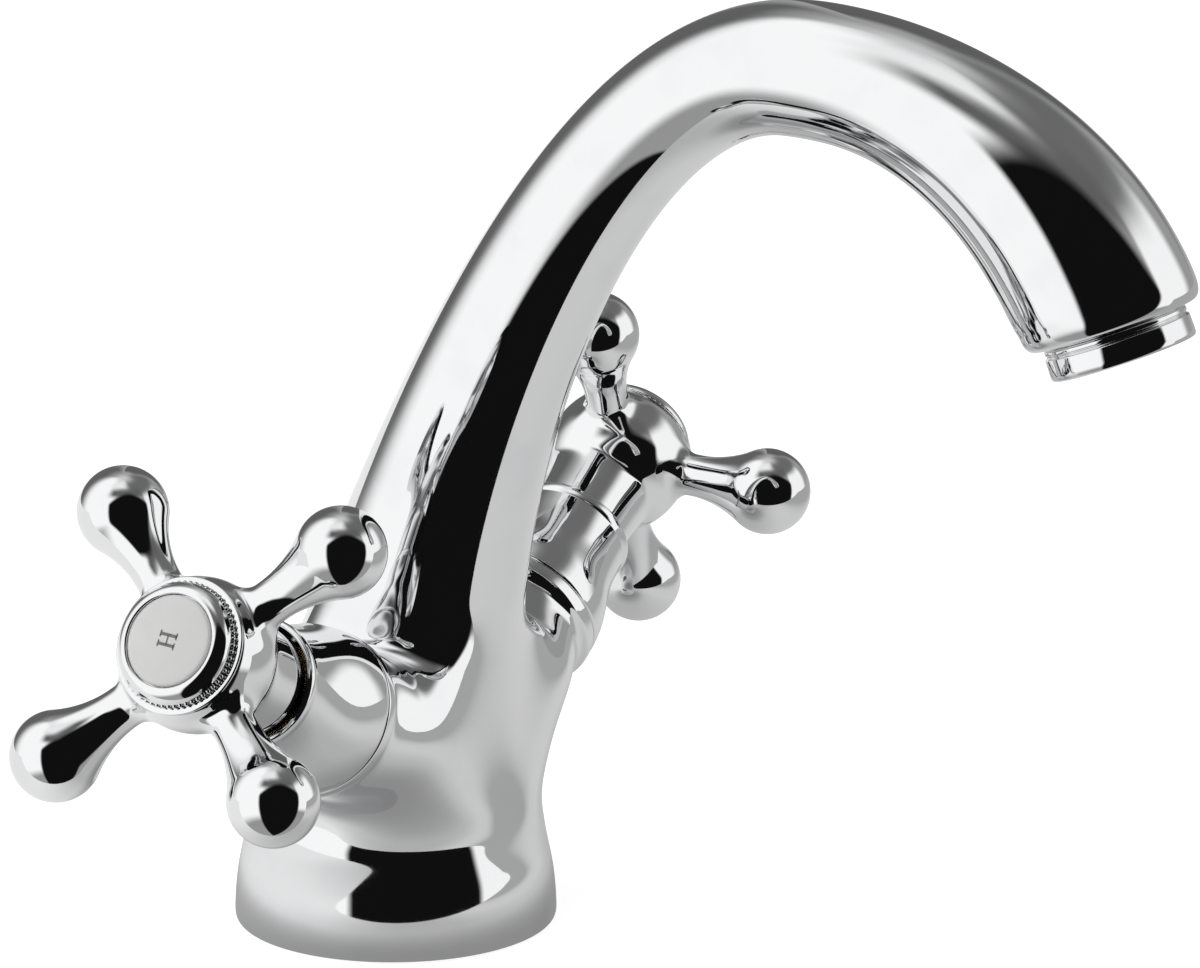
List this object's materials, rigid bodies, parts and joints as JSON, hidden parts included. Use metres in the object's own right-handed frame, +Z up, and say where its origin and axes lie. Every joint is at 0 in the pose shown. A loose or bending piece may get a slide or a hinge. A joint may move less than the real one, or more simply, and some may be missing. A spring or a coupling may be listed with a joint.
{
  "type": "bathroom mixer faucet",
  "caption": "Chrome one-hole basin mixer with a fixed swan-neck spout, two cross handles with ball ends on inclined ceramic-disc valves, and an aerator.",
  "frame": {"origin": "centre of the foot's underside, on the deck", "axes": "+Z up from the deck, the spout points along -Y, the hot valve is on the -X side and the cold valve on the +X side"},
  "size_m": [0.1814, 0.1789, 0.1669],
  "materials": {
    "chrome": "mirror-polished chrome plate on cast brass",
    "brass": "machined brass",
    "rubber": "matt black nitrile rubber",
    "white_plastic": "moulded acetal",
    "steel": "bright stainless steel",
    "steel_mesh": "woven stainless steel wire",
    "valve_ceramic": "lapped alumina",
    "porcelain": "glazed porcelain"
  },
  "bodies": {
    "mixer": {"body_casting": "chrome", "spout": "chrome", "base_seal": "rubber", "aerator_housing": "chrome", "aerator_washer": "rubber", "aerator_insert": "white_plastic", "aerator_screen": "steel_mesh", "hot_shroud": "chrome", "hot_valve_bonnet": "brass", "hot_bonnet_ring": "rubber", "hot_seat_seal": "rubber", "hot_fixed_disc": "valve_ceramic", "cold_shroud": "chrome", "cold_valve_bonnet": "brass", "cold_bonnet_ring": "rubber", "cold_seat_seal": "rubber", "cold_fixed_disc": "valve_ceramic"},
    "hot_handle": {"hot_handle_cross": "chrome", "hot_handle_bush": "white_plastic", "hot_handle_screw": "steel", "hot_index_cap": "chrome", "hot_index_disc": "porcelain", "hot_spindle": "brass", "hot_spindle_rings": "rubber", "hot_spindle_clip": "steel", "hot_moving_disc": "valve_ceramic"},
    "cold_handle": {"cold_handle_cross": "chrome", "cold_handle_bush": "white_plastic", "cold_handle_screw": "steel", "cold_index_cap": "chrome", "cold_index_disc": "porcelain", "cold_spindle": "brass", "cold_spindle_rings": "rubber", "cold_spindle_clip": "steel", "cold_moving_disc": "valve_ceramic"}
  },
  "joints": [
    {"name": "hot_handle_turn", "type": "hinge", "parent": "mixer", "child": "hot_handle", "pos_m": [0, -0.0047, 0.0275], "axis": [-0.8854, 0, 0.4648], "range_deg": [0, 90]},
    {"name": "cold_handle_turn", "type": "hinge", "parent": "mixer", "child": "cold_handle", "pos_m": [0, -0.0047, 0.0275], "axis": [-0.8854, 0, -0.4648], "range_deg": [0, 90]}
  ]
}
